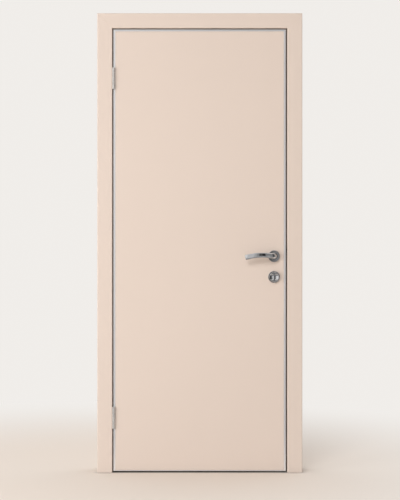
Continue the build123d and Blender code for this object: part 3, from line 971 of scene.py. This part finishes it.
@dataclass
class ButtHinge:
    """A butt hinge: two plates with knuckles rolled round a pin."""

    name: str
    layout: Layout
    plate: float = 2.5 * MM
    barrel_radius: float = 6.0 * MM
    pin_radius: float = 3.0 * MM
    bearing_radius: float = 5.3 * MM
    bearing_clearance: float = 0.1 * MM
    end_knuckle: float = 24.0 * MM
    bearing_gap: float = 1.6 * MM
    knuckle_gap: float = 0.6 * MM
    web_start: float = 0.5 * MM
    web_lap: float = 0.2 * MM
    broken_edge: float = 0.35 * MM
    dome_height: float = 0.9 * MM
    dome_shares: tuple[Flat, ...] = ((0.35, 1.0), (0.75, 0.6), (1.0, 0.0))
    arc_steps: int = 40
    screw_rows: tuple[float, ...] = (-38.0 * MM, -13.0 * MM, 13.0 * MM, 38.0 * MM)
    screw_stagger: float = 7.0 * MM
    metal: DrawnMetal = DrawnMetal(
        "satin_nickel", (0.75, 0.74, 0.72, 1.0), (0.65, 0.64, 0.62, 1.0), gloss=0.27, lines=0.06
    )

    def node(self, piece: str) -> str:
        """The name of one of the hinge's CAD nodes."""
        return f"{self.name}_hinge_{piece}"

    def ends(self) -> Flat:
        """The heights of the pin's two ends."""
        low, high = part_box(self.node("pin"))
        return low.z, high.z

    def knuckles(self) -> list[Flat]:
        """Shares the pin's length among five knuckles.

        Returns:
            The knuckles from the bottom, as pairs of heights.
        """
        low, high = self.ends()
        gaps = [self.bearing_gap, self.knuckle_gap, self.knuckle_gap, self.bearing_gap, 0.0]
        middle = (high - low - 2 * self.end_knuckle - sum(gaps)) / 3
        spans = []
        for length, space in zip([self.end_knuckle, middle, middle, middle, self.end_knuckle], gaps):
            spans.append((low, low + length))
            low += length + space
        return spans

    def half(self, node: str, left: float, spans: Sequence[Flat]) -> Draft:
        """Makes one plate with its knuckles.

        Args:
            node: the CAD node that it stands for.
            left: the plate's hinge-side face.
            spans: the heights of its knuckles.

        Returns:
            The mesh: the plate, and each knuckle with the web that rolls into it.
        """
        axis, radius = middle_of(self.node("pin")), self.barrel_radius
        right, plate_to = left + self.plate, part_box(node)[1].y
        start = axis.y + radius + self.web_start
        plate = [(left, start), (left, plate_to), (right, plate_to), (right, start)]
        turn_left = math.degrees(math.acos(max(-1.0, (left - axis.x) / radius)))
        turn_right = math.degrees(math.acos((right - axis.x) / radius))
        knuckle = corner_arc((axis.x, axis.y), radius, turn_left, 360 + turn_right, self.arc_steps)
        knuckle += [(right, start + self.web_lap), (left, start + self.web_lap)]
        draft = Draft()
        for outline, heights in ((plate, self.ends()), *((knuckle, span) for span in spans)):
            draft.rings([[(x, y, z) for x, y in outline] for z in heights])
        return draft

    def pin(self) -> Draft:
        """Makes the pin with domed ends and its bearing rings.

        Returns:
            The mesh.
        """
        axis, (low, high) = middle_of(self.node("pin")), self.ends()
        spans, radius, ring = self.knuckles(), self.pin_radius, self.bearing_radius
        dome = [(radius * share, self.dome_height * rise) for share, rise in self.dome_shares]
        steps = [(r, low - rise) for r, rise in dome]
        for under, over in ((spans[0], spans[1]), (spans[3], spans[4])):
            bottom, top = under[1] + self.bearing_clearance, over[0] - self.bearing_clearance
            steps += [(radius, bottom), (ring, bottom), (ring, top), (radius, top)]
        steps += [(r, high + rise) for r, rise in reversed(dome)]
        turns = circle(self.arc_steps)
        return Draft().rings(
            [[(axis.x + r * math.cos(a), axis.y + r * math.sin(a), z) for a in turns] for r, z in steps]
        )

    def build(self) -> Seats:
        """Makes the hinge's three pieces.

        Returns:
            The seats of its screws, by body.
        """
        spans = self.knuckles()
        frame_node, door_node = self.node("frame_plate"), self.node("door_plate")
        frame_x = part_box(frame_node)[0].x
        for node, draft, body in (
            (frame_node, self.half(frame_node, frame_x, spans[0::2]), Body.FRAME),
            (door_node, self.half(door_node, self.layout.leaf_left, spans[1::2]), Body.LEAF),
            (self.node("pin"), self.pin(), Body.FRAME),
        ):
            piece = draft.object(f"{node}_finished")
            soften(piece, self.broken_edge)
            settle(piece)
            hand_over(piece, body, self.metal, node)
        return self.screw_seats(frame_x + self.plate)

    def screw_seats(self, frame_face: float) -> Seats:
        """Sets out four screws in each plate, staggered from row to row.

        Args:
            frame_face: where the open face of the frame's plate is.

        Returns:
            The seats, by body.
        """
        plate_middle = (self.layout.leaf_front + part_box(self.node("door_plate"))[1].y) / 2
        seats: Seats = {Body.FRAME: [], Body.LEAF: []}
        for step, row in enumerate(self.screw_rows):
            y = plate_middle + self.screw_stagger * (1 if step % 2 else -1)
            z = sum(self.ends()) / 2 + row
            seats[Body.FRAME].append(ScrewSeat((frame_face, y, z), (1.0, 0.0, 0.0)))
            seats[Body.LEAF].append(ScrewSeat((self.layout.leaf_left, y, z), (-1.0, 0.0, 0.0)))
        return seats


def turned(profile: Sequence[Flat], middle: Flat, face_y: float, count: int, ring: bool = False) -> Draft:
    """A round piece turned about an axis through the wall, on the opening side.

    Args:
        profile: pairs of radius and distance out from the face.
        middle: the axis, as its place along the wall and its height.
        face_y: where the face is.
        count: points round the piece.
        ring: joins the profile's end to its start, for a piece with a hole.

    Returns:
        The mesh.
    """
    x, z = middle
    turns = circle(count)
    rings = [
        [(x + r * math.cos(a), face_y - out, z + r * math.sin(a)) for a in turns] for r, out in profile
    ]
    if ring:
        rings.append(rings[0])
    return Draft().rings(rings, capped=not ring)


def cubic(knots: Sequence[float], values: Sequence[float], place: float) -> float:
    """A smooth curve through values.

    Args:
        knots: where the values are, in rising order.
        values: the values there.
        place: where to read the curve.

    Returns:
        The curve's value.
    """
    spans = [after - before for before, after in zip(knots, knots[1:])]
    rises = [(b - a) / span for a, b, span in zip(values, values[1:], spans)]
    slopes = [rises[0]]
    for step in range(1, len(spans)):
        before, after = spans[step - 1], spans[step]
        slopes.append((rises[step - 1] * after + rises[step] * before) / (before + after))
    slopes.append(rises[-1])
    index = max(step for step in range(len(spans)) if step == 0 or knots[step] <= place)
    span = spans[index]
    t = (place - knots[index]) / span
    low, high = values[index], values[index + 1]
    bend = (2 * t**3 - 3 * t**2 + 1) * low + (3 * t**2 - 2 * t**3) * high
    return bend + span * ((t**3 - 2 * t**2 + t) * slopes[index] + (t**3 - t**2) * slopes[index + 1])


@dataclass(frozen=True)
class Station:
    """One section of the lever, in millimetres from the middle of the rose's face."""

    along: float
    out: float
    up: float
    half_height: float
    half_thickness: float
    roundness: float


@dataclass
class LeverPair:
    """Two lever handles on round roses, joined by a square spindle."""

    layout: Layout
    rose_radius: float = 27.5 * MM
    rose_height: float = 8.5 * MM
    rose_round: float = 2.0 * MM
    shaft_radius: float = 10.0 * MM
    shaft_depth: float = 5.5 * MM
    running_gap: float = 0.08 * MM
    tip_round: float = 2.0 * MM
    crown: float = 0.5 * MM
    crown_from: float = 40.0
    broken_edge: float = 0.35 * MM
    edge_steps: int = 3
    edge_angle: float = 50.0
    crisp_angle: float = 60.0
    tip_steps: int = 5
    round_steps: int = 10
    turn_steps: int = 128
    corner_steps: int = 12
    face_steps: int = 8
    samples: int = 90
    stations: tuple[Station, ...] = (
        Station(0, 0.6, 0, 16.5, 16.5, 1.0),
        Station(0, 2.2, 0, 16.0, 16.0, 1.0),
        Station(0, 6.5, 0, 13.6, 13.6, 1.0),
        Station(0.0, 14.5, 0.1, 12.4, 12.4, 0.98),
        Station(1.0, 24.8, 0.6, 11.9, 11.9, 0.95),
        Station(6.6, 34.8, 1.6, 11.9, 10.0, 0.9),
        Station(20, 39.5, 3.2, 12.0, 7.2, 0.84),
        Station(38, 41.4, 4.4, 12.1, 6.0, 0.78),
        Station(62, 41.5, 4.8, 12.2, 5.6, 0.75),
        Station(84, 41.0, 3.7, 12.2, 5.4, 0.75),
        Station(104, 39.6, 0.8, 12.2, 5.2, 0.75),
        Station(121, 37.7, -2.8, 12.2, 5.0, 0.75),
        Station(132.7, 36.15, -5.4, 11.9, 4.5, 0.75),
    )
    metal: Chrome = Chrome("polished_chrome")

    def rose(self, middle: Flat, shaft_radius: float) -> Draft:
        """Makes a round cover with a softened rim and a bore, on the opening side.

        Args:
            middle: its middle, as its place along the wall and its height.
            shaft_radius: the radius of the shaft that turns in it.

        Returns:
            The mesh.
        """
        radius, height, edge = self.rose_radius, self.rose_height, self.rose_round
        bore = shaft_radius + self.running_gap
        profile = [
            (bore, 0.0),
            (radius, 0.0),
            *corner_arc((radius - edge, height - edge), edge, 0, 90, self.round_steps),
            (bore, height),
        ]
        return turned(profile, middle, self.layout.leaf_front, self.turn_steps, ring=True)

    def point(self, station: Station) -> Vector:
        """A station's place in the frame of the door."""
        x, z = self.layout.lever_middle
        return Vector((x - station.along * MM, self.rose_face() - station.out * MM, z + station.up * MM))

    def rose_face(self) -> float:
        """Where the face of the opening side's roses is."""
        return self.layout.leaf_front - self.rose_height

    def path(self) -> list[tuple[Vector, Station]]:
        """Samples the lever's centre line at even steps.

        Returns:
            The places along it, each with its section.
        """
        points = [Vector((s.along, s.out, s.up)) for s in self.stations]
        knots = [0.0]
        for before, after in zip(points, points[1:]):
            knots.append(knots[-1] + (after - before).length)
        columns = list(zip(*map(astuple, self.stations)))
        samples = []
        for step in range(self.samples + 1):
            place = knots[-1] * step / self.samples
            station = Station(*[cubic(knots, column, place) for column in columns])
            samples.append((self.point(station), station))
        return samples

    def section(self, middle: Vector, heading: Vector, station: Station, trim: float = 0.0) -> list[Point]:
        """The rounded outline of a section, square to the centre line.

        Args:
            middle: its place.
            heading: the centre line's direction there.
            station: its sizes.
            trim: how much smaller it is than its station, all round.

        Returns:
            The points of its outline.
        """
        across = heading.cross(Vector((0, 0, 1))).normalized()
        upward = across.cross(heading).normalized()
        thick = station.half_thickness * MM - trim
        tall = station.half_height * MM - trim
        corner = min(1.0, station.roundness) * min(thick, tall)
        flat: list[Flat] = []
        for start, side, rise in ((0, 1, 1), (90, -1, 1), (180, -1, -1), (270, 1, -1)):
            middle_of_corner = (side * (thick - corner), rise * (tall - corner))
            flat += corner_arc(middle_of_corner, corner, start, start + 90, self.corner_steps)
            if side * rise < 0:
                reach = rise * (tall - corner)
                spots = [1 - 2 * step / self.face_steps for step in range(1, self.face_steps)]
                flat += [(side * thick, reach * spot) for spot in spots]
        crown = self.crown * min(1.0, station.along / self.crown_from)
        outline = []
        for side, rise in flat:
            fall = min(abs(side), crown * (rise / tall) ** 2)
            outline.append(tuple(middle + across * (side - math.copysign(fall, side)) + upward * rise))
        return outline

    def lever(self) -> Draft:
        """Makes the lever on the opening side: shaft, flared neck, arched grip and softened tip.

        Returns:
            The mesh.
        """
        path = self.path()
        x, z = self.layout.lever_middle
        face, first_out = self.rose_face(), self.stations[0].out * MM
        outwards = Vector((0, -1, 0))
        shaft = Station(0, 0, 0, self.shaft_radius / MM, self.shaft_radius / MM, 1.0)
        ends = (face + self.shaft_depth, face - first_out)
        rings = [self.section(Vector((x, y, z)), outwards, shaft) for y in ends]
        for step, (middle, station) in enumerate(path):
            before = path[max(step - 1, 0)][0]
            after = path[min(step + 1, len(path) - 1)][0]
            heading = (after - before).normalized() if step else outwards
            rings.append(self.section(middle, heading, station))
        tip, station = path[-1]
        heading = (tip - path[-2][0]).normalized()
        for step in range(1, self.tip_steps + 1):
            angle = math.pi / 2 * step / self.tip_steps
            middle = tip + heading * self.tip_round * math.sin(angle)
            rings.append(self.section(middle, heading, station, self.tip_round * (1 - math.cos(angle))))
        return Draft().rings(rings)

    def put_on(self, side: Side, node: str, draft: Draft, body: Body) -> None:
        """Finishes a piece that is the same on both sides of the door.

        Args:
            side: the side that it is on.
            node: the rest of its CAD node's name.
            draft: the mesh, on the opening side.
            body: the body that it moves with.
        """
        name = f"{side.name.lower()}_{node}"
        shape = draft if side is Side.FRONT else draft.mirrored(self.layout.leaf_middle)
        piece = shape.object(f"{name}_finished")
        soften(piece, self.broken_edge, self.edge_steps, self.edge_angle)
        settle(piece, self.crisp_angle)
        hand_over(piece, body, self.metal, name)

    def build(self) -> None:
        """Makes both levers and both of their roses."""
        rose, lever = self.rose(self.layout.lever_middle, self.shaft_radius), self.lever()
        for side in Side:
            self.put_on(side, "lever_rose", rose, Body.LEAF)
            self.put_on(side, "lever", lever, Body.LEVER)


@dataclass
class PrivacyTurn:
    """A round turn with two thumb hollows, and a coin release on the far side, each on its rose."""

    layout: Layout
    handles: LeverPair
    shaft_radius: float = 9.0 * MM
    gap: float = 0.6 * MM
    knob_radius: float = 22.0 * MM
    knob_height: float = 11.0 * MM
    knob_round: float = 2.0 * MM
    knob_chamfer: float = 0.4 * MM
    knob_crisp: float = 60.0
    ridge: float = 1.8 * MM
    hollow_middle: float = 6.4 * MM
    hollow_edge: float = 20.6 * MM
    hollow_depth: float = 5.2 * MM
    hollow_straight: float = 10.0 * MM
    hollow_end: float = 10.0 * MM
    edge_blend: float = 0.7 * MM
    release_radius: float = 13.0 * MM
    release_height: float = 3.0 * MM
    release_round: float = 1.0 * MM
    release_crisp: float = 30.0
    slot_share: float = 0.75
    slot_width: float = 2.4 * MM
    slot_depth: float = 1.8 * MM
    slot_past: float = 2.0 * MM
    radial_steps: int = 64
    rim_steps: int = 8
    turn_steps: int = 216
    release_steps: int = 96
    release_round_steps: int = 6
    slot_steps: int = 12

    def base(self) -> float:
        """Where the turn's back is, a running gap off its rose."""
        return self.handles.rose_face() - self.gap

    def top(self, across: float, up: float) -> float:
        """How high the knob's face stands over its base.

        Args:
            across: the place on the face along the wall, from the middle.
            up: its height, from the middle.

        Returns:
            The height over the base: the rim's round, less the hollow, with a soft edge between them.
        """
        past_flat = math.hypot(across, up) - (self.knob_radius - self.knob_round)
        height = self.knob_height
        if past_flat > 0:
            drop = min(past_flat, self.knob_round)
            height += math.sqrt(self.knob_round**2 - drop**2) - self.knob_round
        off = abs(across) - self.hollow_middle
        width = self.hollow_edge - self.hollow_middle if off > 0 else self.hollow_middle - self.ridge / 2
        past_straight = max(abs(up) - self.hollow_straight / 2, 0.0)
        distance = self.hollow_end * math.hypot(off / width, past_straight / self.hollow_end)
        arc = (self.hollow_end**2 + self.hollow_depth**2) / (2 * self.hollow_depth)
        if distance >= arc:
            return height
        floor = self.knob_height - self.hollow_depth + arc - math.sqrt(arc**2 - distance**2)
        overlap = max(self.edge_blend - abs(height - floor), 0.0) / self.edge_blend
        return min(height, floor) - overlap**2 * self.edge_blend / 4

    def knob(self) -> Draft:
        """Makes the turn on the opening side: a face with two hollows on a turned body with a shaft.

        Returns:
            The mesh.
        """
        x, z = self.layout.turn_middle
        base, flat = self.base(), self.knob_radius - self.knob_round
        radii = [flat * step / self.radial_steps for step in range(1, self.radial_steps + 1)]
        rim = corner_arc((flat, 0.0), self.knob_round, 90, 0, self.rim_steps)
        radii += [radius for radius, _ in rim[1:]]
        ways = [(math.cos(a), math.sin(a)) for a in circle(self.turn_steps)]
        rings = []
        for r in radii:
            rings.append([(x + r * c, base - self.top(r * c, r * s), z + r * s) for c, s in ways])
        for r, out in (
            (self.knob_radius, self.knob_chamfer),
            (self.knob_radius - self.knob_chamfer, 0.0),
            (self.shaft_radius, 0.0),
            (self.shaft_radius, -self.gap - self.handles.shaft_depth),
        ):
            rings.append([(x + r * c, base - out, z + r * s) for c, s in ways])
        return Draft().rings(rings)

    def release(self) -> Draft:
        """Makes the coin release, on the opening side: a low disc with a shaft.

        Returns:
            The mesh.
        """
        rose, edge, radius = self.handles.rose_height, self.release_round, self.release_radius
        out = rose + self.gap
        middle_of_edge = (radius - edge, out + self.release_height - edge)
        profile = [
            (self.shaft_radius, rose - self.handles.shaft_depth),
            (self.shaft_radius, out),
            (radius, out),
            *corner_arc(middle_of_edge, edge, 0, 90, self.release_round_steps),
        ]
        return turned(profile, self.layout.turn_middle, self.layout.leaf_front, self.release_steps)

    def slot(self) -> Draft:
        """Makes the cutter for the coin slot, on the opening side.

        Returns:
            The mesh.
        """
        x, z = self.layout.turn_middle
        half = self.slot_width / 2
        reach = self.slot_share * self.release_radius - half
        outline = corner_arc((x, z + reach), half, 0, 180, self.slot_steps)
        outline += corner_arc((x, z - reach), half, 180, 360, self.slot_steps)
        face = self.base() - self.release_height
        ends = (face + self.slot_depth, face - self.slot_past)
        return Draft().rings([[(px, y, pz) for px, pz in outline] for y in ends])

    def build(self) -> None:
        """Makes the turn, the release and their roses."""
        middle_y, metal = self.layout.leaf_middle, self.handles.metal
        rose = self.handles.rose(self.layout.turn_middle, self.shaft_radius)
        for side in Side:
            self.handles.put_on(side, "turn_rose", rose, Body.LEAF)
        knob = self.knob().object("turn_knob_finished")
        settle(knob, self.knob_crisp)
        hand_over(knob, Body.TURN, metal, "turn_knob")
        release = self.release().mirrored(middle_y).object("release_disc_finished")
        cutter = self.slot().mirrored(middle_y).object("coin_slot_cutter")
        cut = release.modifiers.new("coin_slot", "BOOLEAN")
        cut.object = cutter
        cut.solver = "EXACT"
        make_plain(release)
        face_outwards(release.data)
        bpy.data.objects.remove(cutter)
        settle(release, self.release_crisp)
        hand_over(release, Body.TURN, metal, "release_disc")


@dataclass
class LockSet:
    """The mortise lock in the leaf's edge and the strike plate in the jamb."""

    layout: Layout
    forend_screw: float = 108.0 * MM
    strike_screw: float = 79.0 * MM
    plates: DrawnMetal = DrawnMetal(
        "brushed_lock_steel", (0.62, 0.62, 0.63, 1.0), (0.50, 0.50, 0.51, 1.0), gloss=0.34, lines=0.16
    )
    bolts: DrawnMetal = DrawnMetal(
        "milled_bolt_steel",
        (0.66, 0.65, 0.63, 1.0),
        (0.55, 0.54, 0.52, 1.0),
        gloss=0.28,
        grain=Grain.ALONG_X,
    )
    spindles: DrawnMetal = DrawnMetal(
        "zinc_spindle_steel",
        (0.58, 0.58, 0.57, 1.0),
        (0.48, 0.48, 0.47, 1.0),
        gloss=0.4,
        grain=Grain.ALONG_Y,
    )

    def dress(self) -> None:
        """Gives the lock's CAD nodes their metals."""
        dress(self.plates, "mortise_lock", "strike_plate")
        dress(self.bolts, "latch", "dead_bolt")
        dress(self.spindles, "lever_spindle", "turn_spindle")

    def screw_seats(self) -> Seats:
        """Sets out two screws in the forend and two in the strike plate.

        Returns:
            The seats, by body.
        """
        seats: Seats = {}
        for body, node, facing, reach in (
            (Body.LEAF, "mortise_lock", 1.0, self.forend_screw),
            (Body.FRAME, "strike_plate", -1.0, self.strike_screw),
        ):
            low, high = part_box(node)
            x, z = high.x if facing > 0 else low.x, middle_of(node).z
            places = [(x, self.layout.leaf_middle, z + way * reach) for way in (-1, 1)]
            seats[body] = [ScrewSeat(place, (facing, 0.0, 0.0)) for place in places]
        return seats


@dataclass
class Leaf:
    """The flush leaf: two skins on a core, with aluminium channels round its edge."""

    film: CreamPaint = CreamPaint("leaf_cream_film", gloss=0.40)
    core: CoreBoard = CoreBoard("leaf_core_board")
    upright: DrawnMetal = DrawnMetal(
        "satin_aluminium_upright", (0.90, 0.90, 0.91, 1.0), (0.80, 0.80, 0.81, 1.0)
    )
    # The top and bottom channels are the same aluminium as the uprights, given a darker tone as painted
    # shade.
    level: DrawnMetal = DrawnMetal(
        "satin_aluminium_level", (0.78, 0.78, 0.79, 1.0), (0.68, 0.68, 0.69, 1.0), grain=Grain.ALONG_X
    )

    def dress(self) -> None:
        """Gives the leaf's CAD nodes their finishes."""
        dress(self.film, "leaf_front_skin", "leaf_back_skin")
        dress(self.core, "leaf_core")
        dress(self.upright, "leaf_edging_hinge_side", "leaf_edging_lock_side")
        dress(self.level, "leaf_edging_top", "leaf_edging_bottom")


@dataclass
class DoorFrame:
    """The rebated jambs and head, with a rubber seal in their stop."""

    layout: Layout
    bare_depth: float = 0.4 * MM
    upright_seal: Rubber = Rubber("seal_rubber_upright")
    level_seal: Rubber = Rubber("seal_rubber_level", grain=Grain.ALONG_X)

    def dress(self) -> None:
        """Gives the frame's CAD nodes their finishes."""
        for node, bare, limit in (
            ("hinge_jamb", Bare.LOW_X, self.bare_depth),
            ("lock_jamb", Bare.HIGH_X, self.layout.width - self.bare_depth),
            ("frame_head", Bare.HIGH_Z, self.layout.height - self.bare_depth),
        ):
            dress(CreamPaint(f"{node}_paint", bare=bare, bare_limit=limit), node)
        dress(self.upright_seal, "seal_hinge_side", "seal_lock_side")
        dress(self.level_seal, "seal_head")


@dataclass(frozen=True)
class Card:
    """A plain card in the studio that only shows in reflections: upright or level."""

    name: str
    low: Point
    high: Point
    tone: float

    def corners(self) -> list[Point]:
        """Finds its four corners.

        Returns:
            The corners in order round it.
        """
        (x0, y0, z0), (x1, y1, z1) = self.low, self.high
        if x0 == x1:
            return [(x0, y0, z0), (x0, y1, z0), (x0, y1, z1), (x0, y0, z1)]
        return [(x0, y0, z0), (x1, y0, z0), (x1, y1, z1), (x0, y1, z1)]

    def behind(self, middle_y: float) -> "Card":
        """The same card on the far side of the door."""
        far, near = ((x, 2 * middle_y - y, z) for x, y, z in (self.low, self.high))
        return Card(f"{self.name}_behind", far, near, self.tone)


@dataclass
class Studio:
    """A pale floor and background, soft light, reflection cards and the camera."""

    layout: Layout
    middle_x: float = 430.8 * MM
    middle_z: float = 1032.9 * MM
    distance: float = 6.0
    metres_up_image: float = 2.3215
    sensor: float = 36.0
    background: Colour = (0.875, 0.85, 0.82, 1.0)
    ambient: Colour = (0.40, 0.395, 0.39, 1.0)
    ambient_behind: Colour = (1.02, 1.01, 1.0, 1.0)
    behind_from: float = -0.1
    behind_to: float = 0.4
    floor_half: float = 40.0
    floor_tone: Colour = (0.885, 0.795, 0.715, 1.0)
    floor_fades_from: float = 0.55
    floor_fades_to: float = 2.8
    # Painted contact shade on the floor: how far it reaches, its samples and its dark tone.
    contact: float = 30.0 * MM
    contact_samples: int = 8
    painted_contact_shade_tone: Colour = (0.05, 0.045, 0.04, 1.0)
    key_from: Point = (-0.26, -0.83, 0.48)
    key_strength: float = 1.04
    key_spread: float = 0.4
    fill_from: Point = (-3.2, -3.2, 1.2)
    fill_size: float = 2.4
    fill_watts: float = 95.0
    cards: tuple[Card, ...] = (
        Card("grey_wall_card", (-9.0, -8.5, 0.0), (9.0, -8.5, 8.0), 0.28),
        Card("pale_wall_card", (-9.0, -8.4, 0.0), (-0.25, -8.4, 8.0), 0.66),
        Card("near_wall_card", (-0.25, -8.4, 0.0), (0.25, -8.4, 8.0), 0.50),
        Card("door_side_card", (0.25, -8.4, 0.0), (0.72, -8.4, 8.0), 0.36),
        Card("window_card", (-9.0, -8.3, 0.2), (-2.0, -8.3, 6.0), 0.95),
        Card("dark_card", (0.68, -8.2, 0.55), (1.2, -8.2, 3.6), 0.004),
        Card("far_right_card", (1.5, -8.45, 0.0), (4.5, -8.45, 0.88), 0.55),
        Card("low_card", (0.5, -8.2, 0.0), (1.5, -8.2, 0.52), 0.46),
        Card("right_wall_card", (4.5, -8.5, 0.0), (4.5, -0.4, 8.0), 0.07),
        Card("grey_floor_card", (-6.0, -8.2, 0.002), (6.0, -0.5, 0.002), 0.25),
    )

    def camera(self) -> None:
        """A level camera square to the wall."""
        data = bpy.data.cameras.new("camera")
        data.sensor_width = self.sensor
        data.lens = self.sensor * self.distance / self.metres_up_image
        made = into_scene(data, "camera")
        made.location = (self.middle_x, self.layout.leaf_front - self.distance, self.middle_z)
        made.rotation_euler = (math.pi / 2, 0.0, 0.0)
        bpy.context.scene.camera = made

    def seen(self, nodes: NodeBuilder) -> Wire:
        """Tells the rays that see the studio from those that carry light.

        Args:
            nodes: the builder of a material's or the world's tree.

        Returns:
            1 for the rays of the camera, of reflections and through glass, else 0.
        """
        path = nodes.node("ShaderNodeLightPath").socket.node.outputs
        kinds = ("Is Camera Ray", "Is Glossy Ray", "Is Transmission Ray")
        camera, *others = (Wire(nodes, path[kind]) for kind in kinds)
        return sum(others, camera)

    def world(self) -> None:
        """Soft light from all round, and a pale background where the camera or a reflection sees it."""
        made = bpy.data.worlds.new("studio")
        nodes = fresh_nodes(made)
        _, through_wall, _ = nodes.axes(nodes.node("ShaderNodeTexCoord", output="Generated"))
        behind = nodes.fade(through_wall, self.behind_from, self.behind_to)
        soft = nodes.mix(self.ambient, self.ambient_behind, behind)
        colour = nodes.mix(soft, self.background, self.seen(nodes))
        light = nodes.node("ShaderNodeBackground", sockets={"Color": colour, "Strength": 1.0})
        nodes.node("ShaderNodeOutputWorld", sockets={"Surface": light})
        bpy.context.scene.world = made

    def sheet(self, name: str, corners: list[Point]) -> tuple[bpy.types.Object, NodeBuilder]:
        """Makes a flat piece of the studio.

        Args:
            name: its name.
            corners: its four corners in order.

        Returns:
            The object, and the builder of its material.
        """
        made = Draft(corners, [(0, 1, 2, 3)]).object(name)
        paint = bpy.data.materials.new(name)
        made.data.materials.append(paint)
        return made, fresh_nodes(paint)

    def floor(self) -> None:
        """A wide pale floor that fades into the background, with painted contact shade where something
        stands on it.
        """
        half = self.floor_half
        corners = [(-half, -half, 0.0), (half, -half, 0.0), (half, half, 0.0), (-half, half, 0.0)]
        ground, nodes = self.sheet("studio_floor", corners)
        length = {"operation": "LENGTH"}
        away = nodes.node("ShaderNodeVectorMath", length, {0: nodes.place()}, output="Value")
        far = nodes.fade(away, self.floor_fades_from, self.floor_fades_to)
        # Painted contact shade: ambient occlusion blends the floor's colour towards a dark tone where the
        # object stands close to it.
        samples = {"samples": self.contact_samples}
        near = nodes.node("ShaderNodeAmbientOcclusion", samples, {"Distance": self.contact}, output="AO")
        colour = nodes.mix(self.painted_contact_shade_tone, self.floor_tone, near)
        matt = nodes.node("ShaderNodeBsdfDiffuse", sockets={"Color": colour})
        glow = nodes.node("ShaderNodeEmission", sockets={"Color": self.background, "Strength": 1.0})
        both = nodes.node("ShaderNodeMixShader", sockets={0: far * self.seen(nodes), 1: matt, 2: glow})
        nodes.node("ShaderNodeOutputMaterial", sockets={"Surface": both})

    def card(self, card: Card) -> None:
        """Sets up one reflection card.

        Args:
            card: its place and tone.
        """
        made, nodes = self.sheet(card.name, card.corners())
        tone = (card.tone, card.tone, card.tone, 1.0)
        glow = nodes.node("ShaderNodeEmission", sockets={"Color": tone, "Strength": 1.0})
        nodes.node("ShaderNodeOutputMaterial", sockets={"Surface": glow})
        made.visible_camera = False
        made.visible_diffuse = False
        made.visible_shadow = False
        made.visible_transmission = False

    def lamps(self) -> None:
        """A soft key light from the upper left, and a wide soft box on the left."""
        key = bpy.data.lights.new("key", "SUN")
        key.energy = self.key_strength
        key.angle = self.key_spread
        fill = bpy.data.lights.new("left_soft_box", "AREA")
        fill.size = self.fill_size
        fill.energy = self.fill_watts
        aim = Vector((self.middle_x, self.layout.leaf_front, self.middle_z))
        for data, way in ((key, Vector(self.key_from)), (fill, Vector(self.fill_from) - aim)):
            made = into_scene(data, data.name)
            made.location = aim + way
            made.rotation_euler = way.to_track_quat("Z", "Y").to_euler()
            made.visible_glossy = False

    def build(self) -> None:
        """Sets up the studio."""
        bpy.context.scene.view_settings.view_transform = "Standard"
        self.world()
        self.floor()
        for card in self.cards:
            self.card(card)
            self.card(card.behind(self.layout.leaf_middle))
        self.lamps()
        self.camera()


def main() -> None:
    """Builds and dresses the door set, piece by piece, and sets up the studio."""
    logging.basicConfig(level=logging.INFO, format="%(message)s")
    layout = Layout.from_frame()
    DoorFrame(layout).dress()
    Casings(layout).build()
    Leaf().dress()

    lock = LockSet(layout)
    lock.dress()
    seats: Seats = {Body.FRAME: [], Body.LEAF: []}
    hinges = [ButtHinge(name, layout).build() for name in ("top", "bottom")]
    for found in (*hinges, lock.screw_seats()):
        for body, places in found.items():
            seats[body] += places
    Screws().build(seats)

    handles = LeverPair(layout)
    handles.build()
    PrivacyTurn(layout, handles).build()
    Studio(layout).build()


if __name__ == "__main__":
    main()
